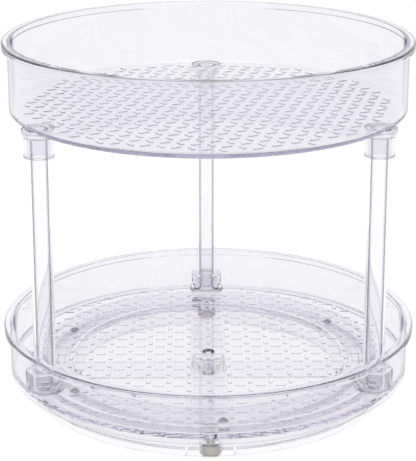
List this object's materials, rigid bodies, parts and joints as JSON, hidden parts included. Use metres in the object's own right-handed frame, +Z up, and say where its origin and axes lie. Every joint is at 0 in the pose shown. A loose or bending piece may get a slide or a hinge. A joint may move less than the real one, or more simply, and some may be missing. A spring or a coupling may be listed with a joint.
{
  "type": "two-tier turntable",
  "caption": "Clear two-tier turntable: round trays with lips, on tube posts, turn on steel balls over a round base with rubber feet.",
  "frame": {"origin": "on the surface that the feet stand on, at the axis that the trays turn about", "axes": "+Z up along the turning axis; -Y towards the front foot; +Y towards the back post; +X to the right seen from the front"},
  "size_m": [0.274, 0.274, 0.2415],
  "materials": {
    "clear_plastic": "clear, polished",
    "steel": "polished",
    "foot_rubber": "matt, beige"
  },
  "bodies": {
    "base": {"base_plate": "clear_plastic", "foot_front": "foot_rubber", "foot_left": "foot_rubber", "foot_right": "foot_rubber", "foot_back": "foot_rubber"},
    "rotor": {"lower_tray": "clear_plastic", "post_back": "clear_plastic", "post_left": "clear_plastic", "post_right": "clear_plastic", "upper_tray": "clear_plastic", "pivot_pin": "clear_plastic"},
    "cage": {"ball_cage": "clear_plastic", "ball_1": "steel", "ball_2": "steel", "ball_3": "steel", "ball_4": "steel", "ball_5": "steel", "ball_6": "steel"}
  },
  "joints": [
    {"name": "tray_turn", "type": "hinge", "parent": "base", "child": "rotor", "pos_m": [0, 0, 0.01795], "axis": [0, 0, 1], "continuous": true},
    {"name": "cage_turn", "type": "hinge", "parent": "base", "child": "cage", "pos_m": [0, 0, 0.01795], "axis": [0, 0, 1], "continuous": true}
  ],
  "couplings": [
    {"joint": "cage_turn", "follows": "tray_turn", "ratio": 0.5}
  ]
}
